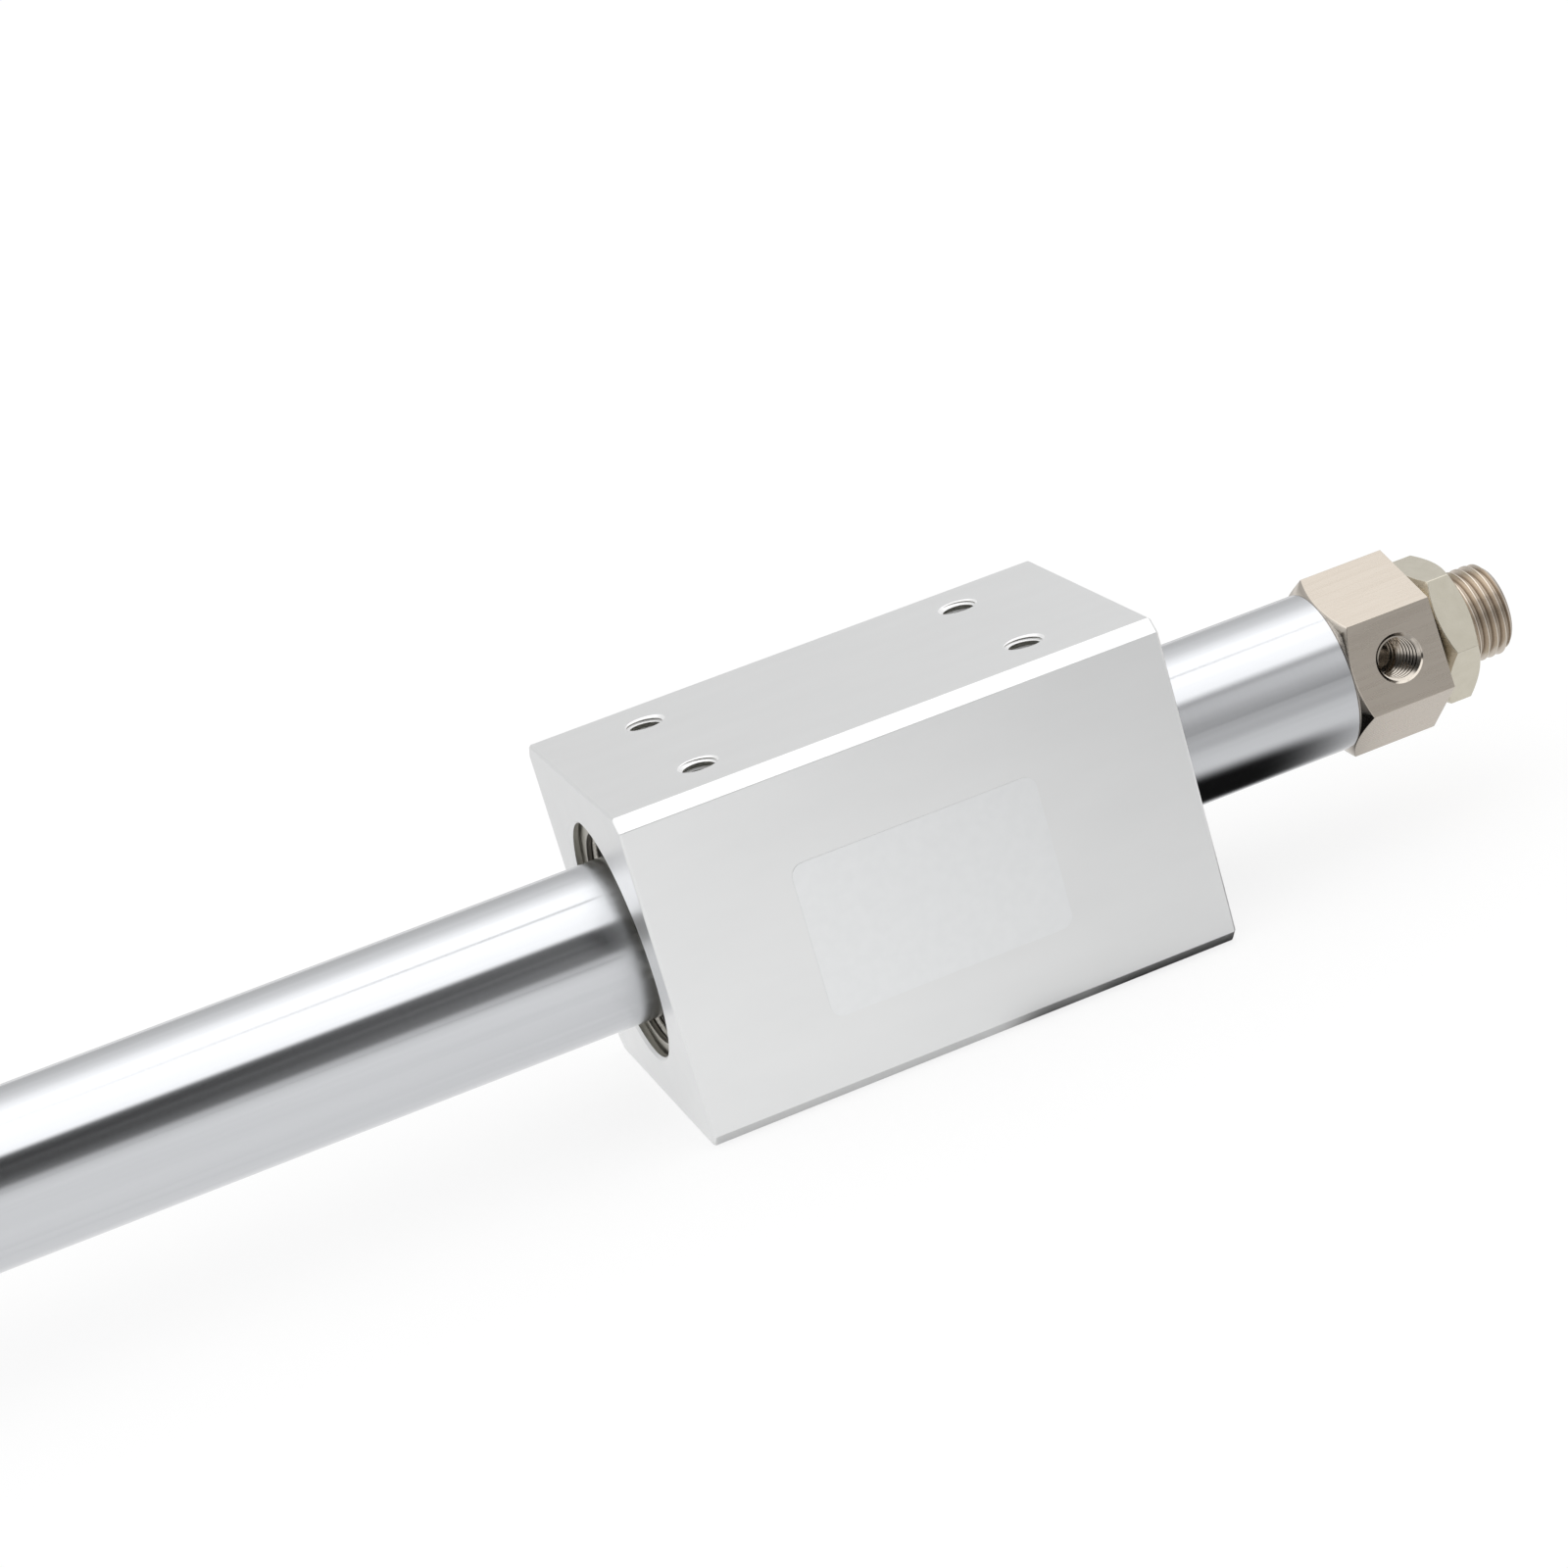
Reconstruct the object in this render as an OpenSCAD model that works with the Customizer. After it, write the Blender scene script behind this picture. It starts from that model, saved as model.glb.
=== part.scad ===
// Magnetically coupled rodless air cylinder.
// A slider block rides on the outside of a stainless tube. Ring magnets in the block
// and on the piston inside the tube hold each other through the tube wall, so the
// block follows the piston with no slot and no rod.
// X runs along the tube, Z points out of the block's drilled face, and the origin is
// the middle of the tube's axis.

/* [Tube] */
// Inside diameter of the tube
bore = 15; // [12:0.5:16]
// Wall thickness of the tube
tube_wall = 1; // [0.8:0.1:1.5]

/* [Stroke] */
// Travel of the slider from stop to stop
stroke = 300; // [50:10:500]
// How far the slider stands from the right-hand end of its stroke
slider_to_end = 19.5; // [0:0.5:50]
// Gap left between the block and each head cover at the stops
end_gap = 2.7; // [2:0.1:6]

/* [Slider block] */
// Length of the block along the tube
block_length = 57; // [54:1:80]
// Width of the block across the tube
block_width = 35; // [33:1:45]
// Height of the block
block_height = 35; // [34:1:45]
// Chamfer along the four long edges
long_edge = 1.3; // [0.5:0.1:2.5]
// Fine break around the two end faces
end_edge = 0.25; // [0.1:0.05:0.5]
// Chamfer at the two mouths of the bore
mouth_edge = 0.3; // [0.1:0.05:0.6]

/* [Mounting holes in the block] */
// Spacing of the tapped holes along the tube
hole_spacing_x = 35; // [25:1:40]
// Spacing of the tapped holes across the tube
hole_spacing_y = 19; // [18:0.5:23]
// Thread size of the tapped holes
hole_thread = 4; // [3:1:5]
// Depth of full thread in the tapped holes
hole_depth = 6; // [4:0.5:6.5]
// Width of the countersink round each tapped hole
hole_edge = 0.2; // [0.1:0.05:0.5]

/* [Magnet stack] */
// Number of ring magnets in each stack
magnets = 4; // [2:1:4]
// Length of each magnet along the tube
magnet_length = 4.4; // [3:0.1:4.6]
// Length of each yoke ring beside the magnets
yoke_length = 2.4; // [1.5:0.1:2.6]
// Radial thickness of the slider's magnet rings
outer_magnet_wall = 3.3; // [3:0.1:3.6]
// Diameter of the shaft that carries the inner stack
shaft_d = 5; // [4:0.5:6]

/* [Slider end pieces] */
// Distance from the block's end face to the retaining ring's groove
ring_setback = 1.1; // [0.8:0.1:2]
// Thickness of the retaining ring
ring_thickness = 1.2; // [1:0.1:1.5]
// Depth of the groove that holds the retaining ring
ring_groove = 0.6; // [0.4:0.1:0.9]
// Radial width of the retaining ring opposite its gap
ring_width = 2.2; // [1.8:0.1:2.4]
// Depth of the scraper's pocket in the slider spacer
scraper_length = 2.6; // [2:0.1:3]
// Thickness of the web between the scraper and the wear ring
web = 1; // [0.8:0.1:1.5]
// Length of the wear ring that guides the slider on the tube
slider_wear_length = 5.2; // [4:0.1:6]

/* [Head covers] */
// How much wider than the tube the hexagon is across its flats
hex_over_tube = 0; // [0:0.5:3]
// Length of the hexagon
hex_length = 10.3; // [9:0.1:14]
// Angle by which the ports point up from the block's side
port_angle = 9; // [0:1:59]
// Thread size of the air port
port_thread = 5; // [4:1:5]
// Distance of the air port from the hexagon's outer face
port_from_end = 4.9; // [4:0.1:6]
// Width of the countersink round the air port
port_edge = 0.35; // [0.1:0.05:0.6]
// Diameter of the axial air passage
passage_d = 3; // [2:0.1:3.5]
// Length of the spigot that enters the tube
spigot_length = 6; // [5:0.5:9]

/* [End threads] */
// Thread size of the mounting thread
stub_thread = 10; // [8:1:12]
// Pitch of the mounting thread
stub_pitch = 1; // [0.75:0.25:1.25]
// Length of the mounting thread
stub_length = 10; // [8:0.5:16]
// Chamfer at the thread's outer end
stub_edge = 0.7; // [0.3:0.1:1]
// Width across the flats of the mounting nut
nut_flats = 14; // [14:0.5:17]
// Thickness of the mounting nut
nut_length = 4; // [3:0.5:5]
// Gap between the hexagon and the mounting nut
nut_gap = 0.8; // [0:0.1:2]
// Angle of the nut's corner from straight up
nut_turn = 34.5; // [0:0.5:59.5]

/* [Piston] */
// Outside diameter of the piston's nose at the bumper
nose_d = 10; // [8:0.5:11]
// Length of the piston's nose
nose_length = 1.2; // [0.8:0.1:2]
// Length of the piston's wear ring
piston_wear_length = 2.2; // [1.5:0.1:2.5]
// Length of the piston's seal
piston_seal_length = 2.4; // [1.8:0.1:2.6]
// Thickness of the bumper
bumper_length = 2; // [1.5:0.1:3]
// Length of shaft screwed into each piston
shaft_grip = 5.5; // [4:0.1:6]

/* [Fits] */
// Radial clearance of guide rings and seals on the tube
slide_clearance = 0.04; // [0.02:0.01:0.08]
// Radial clearance of pieces that are seated in one another
seat_clearance = 0.02; // [0.01:0.01:0.05]
// Axial clearance at the slider's retaining rings
ring_play = 0.1; // [0.05:0.01:0.2]
// Radial gap that keeps magnets and yokes off the tube
magnet_gap = 0.35; // [0.2:0.05:0.5]
// Distance left between the piston and the bumper at the stops
stop_gap = 0.1; // [0.05:0.01:0.3]

/* [Hidden] */
$fn = 96;
// How far cutting shapes run past what they cut
cut_over = 1;
// Break on the edges of small turned pieces
soft_edge = 0.25;

// Tube
tube_in_r = bore / 2;
tube_r = tube_in_r + tube_wall;
tube_length = stroke + block_length + 2 * end_gap;
tube_end = tube_length / 2;
tube_edge = 0.15;

// Slider, with its own zero at the middle of the block
slider_x = stroke / 2 - slider_to_end;
block_end = block_length / 2;
outer_magnet_in_r = tube_r + magnet_gap;
outer_magnet_r = outer_magnet_in_r + outer_magnet_wall;
outer_magnet_setback = 0.3;
stack_r = outer_magnet_r + outer_magnet_setback;
block_bore_r = stack_r + slide_clearance;
drill_past_thread = 0.5;
hole_drill_end = hole_depth + drill_past_thread;
drill_half_angle = 59;

// Ring stacks: a yoke at each end and between every two magnets
yokes = magnets + 1;
stack_length = magnets * magnet_length + yokes * yoke_length;
stack_end = stack_length / 2;
stack_pitch = magnet_length + yoke_length;

// Slider end pieces, from the stack outwards
ring_outer_x = block_end - ring_setback;
ring_inner_x = ring_outer_x - ring_thickness;
spacer_end = ring_inner_x - ring_play;
scraper_x = spacer_end - scraper_length;
web_x = scraper_x - web;
slider_wear_end = stack_end + slider_wear_length;
spacer_wall = 2.3;
pocket_r = stack_r - spacer_wall;
scraper_step = 0.6;
scraper_pocket_r = pocket_r + scraper_step;
ring_out_r = block_bore_r + ring_groove;
ring_narrowing = 0.35;
ring_gap_angle = 11;
lug_r = 1.5;
lug_setback = 1.7;
lug_place_r = ring_out_r - lug_setback;
lug_angle = 13;
plier_hole_r = 0.75;

// Piston, from the stack outwards
spigot_x = tube_end - spigot_length;
bumper_x = spigot_x - bumper_length;
piston_end = bumper_x - stroke / 2 - stop_gap;
piston_length = piston_end - stack_end;
piston_land = (piston_length - nose_length - piston_wear_length - piston_seal_length) / 3;
piston_wear_x = stack_end + piston_land;
piston_seal_x = piston_wear_x + piston_wear_length + piston_land;
nose_x = piston_end - nose_length;
piston_gap = 0.2;
piston_r = tube_in_r - piston_gap;
wear_groove_depth = 0.9;
seal_groove_depth = 1.5;
piston_wear_groove_r = piston_r - wear_groove_depth;
piston_seal_groove_r = piston_r - seal_groove_depth;
inner_yoke_gap = 0.3;
inner_magnet_gap = 0.45;
inner_yoke_r = tube_in_r - inner_yoke_gap;
inner_magnet_r = tube_in_r - inner_magnet_gap;
shaft_r = shaft_d / 2;
shaft_end = stack_end + shaft_grip;
shaft_end_gap = 0.3;
wear_ring_split = 0.8;

// Head cover, from the tube's end outwards
hex_flats = 2 * tube_r + hex_over_tube;
hex_corner_r = hex_flats / 2 / cos(30);
hex_end = tube_end + hex_length;
hex_face_setback = 0.1;
hex_face_r = hex_flats / 2 - hex_face_setback;
hex_chamfer_angle = 32;
port_x = hex_end - port_from_end;
port_r = port_thread / 2;
passage_r = passage_d / 2;
port_floor_step = 1;
port_floor = passage_r + port_floor_step;
spigot_r = tube_in_r - seat_clearance;
gasket_groove_length = 1.9;
gasket_groove_depth = 1.2;
gasket_play = 0.15;
gasket_x = spigot_x + (spigot_length - gasket_groove_length) / 2;
gasket_groove_r = spigot_r - gasket_groove_depth;
nipple_wall = 1.5;
nipple_r = passage_r + nipple_wall;
bumper_proud = 0.8;
bumper_gap = 0.4;
nipple_length = bumper_length - bumper_proud;
stub_r = stub_thread / 2;
stub_end = hex_end + stub_length;
// A metric thread's pitch line lies this share of the pitch below the crest
pitch_line_share = 0.3248;
stub_seat_r = stub_r - pitch_line_share * stub_pitch;

// Mounting nut, beyond the hexagon
nut_x = hex_end + nut_gap;
nut_end = nut_x + nut_length;
free_thread_gap = 0.2;
free_thread_x = nut_end + free_thread_gap;
nut_corner_r = nut_flats / 2 / cos(30);
nut_face_setback = 0.35;
nut_face_r = nut_flats / 2 - nut_face_setback;
nut_chamfer_angle = 30;

// ---- Shared forms ----

// Turned piece: the outline's points are [radius, place along X]
module turned(outline) {
    rotate([0, 90, 0])
        rotate_extrude()
            polygon(outline);
}

// Plain ring between two radii and two places along X
module ring(inner_r, outer_r, from_x, to_x) {
    turned([[inner_r, from_x], [outer_r, from_x], [outer_r, to_x], [inner_r, to_x]]);
}

// Ring of soft material with all four edges broken
module soft_ring(inner_r, outer_r, from_x, to_x) {
    turned([
        [inner_r + soft_edge, from_x], [outer_r - soft_edge, from_x],
        [outer_r, from_x + soft_edge], [outer_r, to_x - soft_edge],
        [outer_r - soft_edge, to_x], [inner_r + soft_edge, to_x],
        [inner_r, to_x - soft_edge], [inner_r, from_x + soft_edge]
    ]);
}

// Hexagonal bar along X with a corner straight up
module hex_bar(corner_r, from_x, to_x) {
    translate([from_x, 0, 0])
        rotate([0, 90, 0])
            cylinder(h = to_x - from_x, r = corner_r, $fn = 6);
}

// Rod along X
module rod(r, from_x, to_x) {
    translate([from_x, 0, 0])
        rotate([0, 90, 0])
            cylinder(h = to_x - from_x, r = r);
}

// A piece drawn for the right-hand end, put at either end: 1 is right, -1 is left
module at_end(side) {
    mirror([side < 0 ? 1 : 0, 0, 0])
        children();
}

// A piece drawn about the slider's middle, put where the slider stands
module at_slider(side = 1) {
    translate([slider_x, 0, 0])
        at_end(side)
            children();
}

// ---- Barrel ----

module cylinder_tube() {
    color([0.72, 0.74, 0.78])
        turned([
            [tube_in_r, -tube_end], [tube_r - tube_edge, -tube_end],
            [tube_r, -tube_end + tube_edge], [tube_r, tube_end - tube_edge],
            [tube_r - tube_edge, tube_end], [tube_in_r, tube_end]
        ]);
}

// Spigot that enters the tube, with the gasket's groove and the nipple for the bumper
module spigot() {
    turned([
        [0, spigot_x - nipple_length], [nipple_r, spigot_x - nipple_length],
        [nipple_r, spigot_x], [spigot_r - soft_edge, spigot_x],
        [spigot_r, spigot_x + soft_edge], [spigot_r, gasket_x],
        [gasket_groove_r, gasket_x], [gasket_groove_r, gasket_x + gasket_groove_length],
        [spigot_r, gasket_x + gasket_groove_length], [spigot_r, tube_end],
        [0, tube_end]
    ]);
}

// Hexagon chamfered on the side of the tube and sharp at its outer face
module chamfered_hexagon() {
    clear_r = hex_corner_r + cut_over;
    cone_length = (clear_r - hex_face_r) * tan(hex_chamfer_angle);
    intersection() {
        hex_bar(hex_corner_r, tube_end, hex_end);
        turned([
            [0, tube_end], [hex_face_r, tube_end], [clear_r, tube_end + cone_length],
            [clear_r, hex_end + cut_over], [0, hex_end + cut_over]
        ]);
    }
}

// Tapped port in the front flat, and the drilled passage that leads to the tube
module air_way() {
    translate([port_x, 0, 0])
        rotate([90, 0, 0]) {
            translate([0, 0, port_floor])
                cylinder(h = hex_corner_r, r = port_r);
            cylinder(h = hex_corner_r, r = passage_r);
            translate([0, 0, hex_flats / 2 - port_edge])
                cylinder(h = 2 * port_edge, r1 = port_r, r2 = port_r + 2 * port_edge);
        }
    rod(passage_r, spigot_x - nipple_length - cut_over, port_x);
}

// Threaded stub. The nut's thread and its own meet at the pitch line, so the stub is drawn
// down to it as far as the nut reaches, and at its full size beyond.
module stub() {
    turned([
        [0, hex_end - cut_over], [stub_seat_r, hex_end - cut_over],
        [stub_seat_r, free_thread_x], [stub_r, free_thread_x],
        [stub_r, stub_end - stub_edge], [stub_r - stub_edge, stub_end], [0, stub_end]
    ]);
}

module head_cover(side) {
    color([0.73, 0.69, 0.62])
        at_end(side)
            rotate([-port_angle, 0, 0])
                difference() {
                    union() {
                        spigot();
                        chamfered_hexagon();
                        stub();
                    }
                    air_way();
                }
}

// Hexagon nut chamfered on both faces and bored to its thread's pitch line
module mounting_nut(side) {
    clear_r = nut_corner_r + cut_over;
    cone_length = (clear_r - nut_face_r) * tan(nut_chamfer_angle);
    color([0.74, 0.72, 0.63])
        at_end(side)
            rotate([nut_turn, 0, 0])
                difference() {
                    intersection() {
                        hex_bar(nut_corner_r, nut_x, nut_end);
                        turned([
                            [0, nut_x], [nut_face_r, nut_x], [clear_r, nut_x + cone_length],
                            [clear_r, nut_end - cone_length], [nut_face_r, nut_end], [0, nut_end]
                        ]);
                    }
                    rod(stub_seat_r + seat_clearance, nut_x - cut_over, nut_end + cut_over);
                }
}

module tube_gasket(side) {
    color([0.12, 0.12, 0.12])
        at_end(side)
            soft_ring(gasket_groove_r + seat_clearance, tube_in_r - seat_clearance,
                      gasket_x + gasket_play, gasket_x + gasket_groove_length - gasket_play);
}

module bumper(side) {
    color([0.85, 0.62, 0.22])
        at_end(side)
            soft_ring(nipple_r + seat_clearance, tube_in_r - bumper_gap, bumper_x, spigot_x);
}

// ---- Slider ----

// Bar with its four long edges chamfered and both ends finely broken
module block_body() {
    half_w = block_width / 2;
    half_h = block_height / 2;
    intersection() {
        translate([-block_end, 0, 0])
            rotate([90, 0, 90])
                linear_extrude(block_length)
                    polygon([
                        [-half_w, -half_h + long_edge], [-half_w + long_edge, -half_h],
                        [half_w - long_edge, -half_h], [half_w, -half_h + long_edge],
                        [half_w, half_h - long_edge], [half_w - long_edge, half_h],
                        [-half_w + long_edge, half_h], [-half_w, half_h - long_edge]
                    ]);
        translate([0, 0, -half_h - cut_over])
            linear_extrude(block_height + 2 * cut_over)
                broken_rectangle(block_end, half_w);
        rotate([90, 0, 0])
            translate([0, 0, -half_w - cut_over])
                linear_extrude(block_width + 2 * cut_over)
                    broken_rectangle(block_end, half_h);
    }
}

// Rectangle of half-sizes a and b with its corners broken by end_edge
module broken_rectangle(a, b) {
    e = end_edge;
    polygon([
        [-a, -b + e], [-a + e, -b], [a - e, -b], [a, -b + e],
        [a, b - e], [a - e, b], [-a + e, b], [-a, b - e]
    ]);
}

// Tapped blind hole drilled down from the block's top face, with a countersunk rim
module tapped_hole() {
    r = hole_thread / 2;
    top = block_height / 2;
    translate([0, 0, top - hole_drill_end])
        cylinder(h = hole_drill_end + cut_over, r = r);
    translate([0, 0, top - hole_drill_end - r / tan(drill_half_angle)])
        cylinder(h = r / tan(drill_half_angle), r1 = 0, r2 = r);
    translate([0, 0, top - hole_edge])
        cylinder(h = 2 * hole_edge, r1 = r, r2 = r + 2 * hole_edge);
}

module slider_block() {
    color([0.80, 0.81, 0.83])
        at_slider()
            difference() {
                block_body();
                rod(block_bore_r, -block_end - cut_over, block_end + cut_over);
                for (side = [-1, 1])
                    at_end(side) {
                        ring(0, ring_out_r + seat_clearance, ring_inner_x - seat_clearance, ring_outer_x);
                        turned([
                            [0, block_end - mouth_edge], [block_bore_r, block_end - mouth_edge],
                            [block_bore_r + 2 * mouth_edge, block_end + mouth_edge],
                            [0, block_end + mouth_edge]
                        ]);
                    }
                for (x = [-1, 1], y = [-1, 1])
                    translate([x * hole_spacing_x / 2, y * hole_spacing_y / 2, 0])
                        tapped_hole();
            }
}

// Outline of the sprung ring: widest opposite its gap, with a lug for the pliers on
// each side of the gap
module retaining_ring_outline() {
    difference() {
        union() {
            difference() {
                circle(r = ring_out_r);
                translate([ring_narrowing, 0])
                    circle(r = ring_out_r - ring_width + ring_narrowing);
                polygon([
                    [0, 0],
                    [2 * ring_out_r, 2 * ring_out_r * tan(ring_gap_angle / 2)],
                    [2 * ring_out_r, -2 * ring_out_r * tan(ring_gap_angle / 2)]
                ]);
            }
            for (turn = [-lug_angle, lug_angle])
                rotate(turn)
                    translate([lug_place_r, 0])
                        circle(r = lug_r);
        }
        for (turn = [-lug_angle, lug_angle])
            rotate(turn)
                translate([lug_place_r, 0])
                    circle(r = plier_hole_r);
    }
}

module retaining_ring(side) {
    color([0.42, 0.41, 0.40])
        at_slider(side)
            translate([ring_inner_x, 0, 0])
                rotate([90, 0, 90])
                    linear_extrude(ring_thickness)
                        rotate(180)
                            retaining_ring_outline();
}

// ---- Magnet carrier inside the slider block ----

// End ring with a pocket for the scraper outside and one for the guide rings inside
module slider_spacer(side) {
    color([0.56, 0.56, 0.57])
        at_slider(side)
            turned([
                [pocket_r, stack_end], [stack_r, stack_end],
                [stack_r, spacer_end - soft_edge], [stack_r - soft_edge, spacer_end],
                [scraper_pocket_r, spacer_end], [scraper_pocket_r, scraper_x],
                [outer_magnet_in_r, scraper_x], [outer_magnet_in_r, web_x],
                [pocket_r, web_x]
            ]);
}

// Rubber ring whose lip wipes the tube
module scraper(side) {
    back_r = scraper_pocket_r - seat_clearance;
    lip_r = tube_r + slide_clearance;
    lip_wall = 0.4;
    notch_depth = 0.6;
    front_x = spacer_end - 0.1;
    heel_x = front_x - 0.3;
    color([0.10, 0.10, 0.10])
        at_slider(side)
            turned([
                [lip_r + 2 * lip_wall, scraper_x], [back_r, scraper_x], [back_r, heel_x],
                [lip_r + 3 * lip_wall, heel_x], [lip_r + 2 * lip_wall, heel_x - notch_depth],
                [lip_r + lip_wall, front_x], [lip_r, front_x - lip_wall / 2],
                [lip_r + lip_wall, scraper_x + 2 * lip_wall]
            ]);
}

// Ring that keeps a film of grease on the tube
module lube_retainer(side) {
    color([0.90, 0.88, 0.78])
        at_slider(side)
            soft_ring(tube_r + slide_clearance, pocket_r - seat_clearance, slider_wear_end, web_x);
}

// Resin ring that guides the slider on the tube
module slider_wear_ring(side) {
    color([0.35, 0.27, 0.20])
        at_slider(side)
            ring(tube_r + slide_clearance, pocket_r - seat_clearance, stack_end, slider_wear_end);
}

// Place of the start of yoke or magnet number i in a stack, from the slider's middle
function yoke_x(i) = -stack_end + (i - 1) * stack_pitch;
function magnet_x(i) = yoke_x(i) + yoke_length;

module outer_yoke(i) {
    color([0.62, 0.60, 0.52])
        at_slider()
            ring(outer_magnet_in_r, stack_r, yoke_x(i), yoke_x(i) + yoke_length);
}

module outer_magnet(i) {
    color([0.50, 0.51, 0.53])
        at_slider()
            ring(outer_magnet_in_r, outer_magnet_r, magnet_x(i), magnet_x(i) + magnet_length);
}

// ---- Piston ----

module piston_shaft() {
    color([0.70, 0.71, 0.73])
        at_slider()
            turned([
                [0, -shaft_end], [shaft_r - soft_edge, -shaft_end],
                [shaft_r, -shaft_end + soft_edge], [shaft_r, shaft_end - soft_edge],
                [shaft_r - soft_edge, shaft_end], [0, shaft_end]
            ]);
}

// Cap screwed on the shaft, grooved for its wear ring and its seal
module piston(side) {
    wear_end = piston_wear_x + piston_wear_length;
    seal_end = piston_seal_x + piston_seal_length;
    thread_r = shaft_r + seat_clearance;
    thread_end = shaft_end + shaft_end_gap;
    color([0.78, 0.66, 0.40])
        at_slider(side)
            turned([
                [thread_r, stack_end], [piston_r, stack_end],
                [piston_r, piston_wear_x], [piston_wear_groove_r, piston_wear_x],
                [piston_wear_groove_r, wear_end], [piston_r, wear_end],
                [piston_r, piston_seal_x], [piston_seal_groove_r, piston_seal_x],
                [piston_seal_groove_r, seal_end], [piston_r, seal_end],
                [piston_r, nose_x], [nose_d / 2, nose_x],
                [nose_d / 2, piston_end - soft_edge], [nose_d / 2 - soft_edge, piston_end],
                [0, piston_end], [0, thread_end], [thread_r, thread_end]
            ]);
}

// Cup seal whose lip faces the air
module piston_seal(side) {
    base_r = piston_seal_groove_r + seat_clearance;
    lip_r = tube_in_r - slide_clearance;
    lip_wall = 0.3;
    cup_depth = 0.9;
    from_x = piston_seal_x + seat_clearance;
    to_x = piston_seal_x + piston_seal_length - seat_clearance;
    color([0.12, 0.12, 0.12])
        at_slider(side)
            turned([
                [base_r, from_x], [lip_r - lip_wall, from_x], [lip_r, to_x - 2 * lip_wall],
                [lip_r, to_x - lip_wall], [lip_r - lip_wall, to_x],
                [(base_r + lip_r) / 2, to_x - cup_depth],
                [base_r + lip_wall, to_x], [base_r, to_x - lip_wall]
            ]);
}

// Resin guide ring, split so that it snaps into its groove
module piston_wear_ring(side) {
    color([0.35, 0.27, 0.20])
        at_slider(side)
            difference() {
                ring(piston_wear_groove_r + seat_clearance, tube_in_r - slide_clearance,
                     piston_wear_x + seat_clearance,
                     piston_wear_x + piston_wear_length - seat_clearance);
                translate([piston_wear_x - cut_over, -wear_ring_split / 2, 0])
                    cube([piston_wear_length + 2 * cut_over, wear_ring_split, bore]);
            }
}

module inner_yoke(i) {
    color([0.62, 0.60, 0.52])
        at_slider()
            ring(shaft_r + seat_clearance, inner_yoke_r, yoke_x(i), yoke_x(i) + yoke_length);
}

module inner_magnet(i) {
    color([0.50, 0.51, 0.53])
        at_slider()
            ring(shaft_r + seat_clearance, inner_magnet_r, magnet_x(i), magnet_x(i) + magnet_length);
}

// ---- Assembly ----

cylinder_tube();
head_cover(-1);  // head_cover_left
head_cover(1);  // head_cover_right
mounting_nut(-1);  // mounting_nut_left
mounting_nut(1);  // mounting_nut_right
tube_gasket(-1);  // tube_gasket_left
tube_gasket(1);  // tube_gasket_right
bumper(-1);  // bumper_left
bumper(1);  // bumper_right
slider_block();
retaining_ring(-1);  // retaining_ring_left
retaining_ring(1);  // retaining_ring_right
slider_spacer(-1);  // slider_spacer_left
slider_spacer(1);  // slider_spacer_right
scraper(-1);  // scraper_left
scraper(1);  // scraper_right
lube_retainer(-1);  // lube_retainer_left
lube_retainer(1);  // lube_retainer_right
slider_wear_ring(-1);  // slider_wear_ring_left
slider_wear_ring(1);  // slider_wear_ring_right
for (i = [1:yokes])
    outer_yoke(i);
for (i = [1:magnets])
    outer_magnet(i);
piston_shaft();
piston(-1);  // piston_left
piston(1);  // piston_right
piston_seal(-1);  // piston_seal_left
piston_seal(1);  // piston_seal_right
piston_wear_ring(-1);  // piston_wear_ring_left
piston_wear_ring(1);  // piston_wear_ring_right
for (i = [1:yokes])
    inner_yoke(i);
for (i = [1:magnets])
    inner_magnet(i);
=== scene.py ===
"""Looks of a magnetically coupled rodless cylinder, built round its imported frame.

Lengths are in metres. X runs along the tube, Z points out of the slider block's drilled
face, and the block's labelled side faces -Y.
"""
import math

import bmesh
import bpy
from mathutils import Matrix, Vector


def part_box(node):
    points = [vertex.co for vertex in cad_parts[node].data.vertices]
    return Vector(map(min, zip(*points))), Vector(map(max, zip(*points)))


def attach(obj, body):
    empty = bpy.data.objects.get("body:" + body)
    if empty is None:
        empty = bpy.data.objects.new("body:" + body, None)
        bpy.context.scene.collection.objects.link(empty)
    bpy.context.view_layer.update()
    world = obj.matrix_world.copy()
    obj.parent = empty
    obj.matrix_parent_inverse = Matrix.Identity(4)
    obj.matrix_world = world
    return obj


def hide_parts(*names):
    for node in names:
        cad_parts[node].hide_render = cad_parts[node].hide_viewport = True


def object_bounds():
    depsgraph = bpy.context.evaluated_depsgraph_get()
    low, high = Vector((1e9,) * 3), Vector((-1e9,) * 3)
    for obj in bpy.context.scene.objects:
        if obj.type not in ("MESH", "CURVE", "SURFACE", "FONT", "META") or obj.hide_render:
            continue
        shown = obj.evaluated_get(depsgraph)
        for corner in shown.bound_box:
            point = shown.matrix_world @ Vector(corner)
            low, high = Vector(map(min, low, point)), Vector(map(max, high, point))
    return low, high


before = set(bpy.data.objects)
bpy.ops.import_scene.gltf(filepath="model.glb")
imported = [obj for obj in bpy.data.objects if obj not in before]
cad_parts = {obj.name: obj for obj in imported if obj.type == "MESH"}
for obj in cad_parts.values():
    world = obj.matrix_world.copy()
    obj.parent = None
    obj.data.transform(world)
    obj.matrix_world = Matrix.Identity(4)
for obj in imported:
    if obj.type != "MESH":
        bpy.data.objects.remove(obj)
cad_low, cad_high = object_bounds()
MM = 0.001


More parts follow.
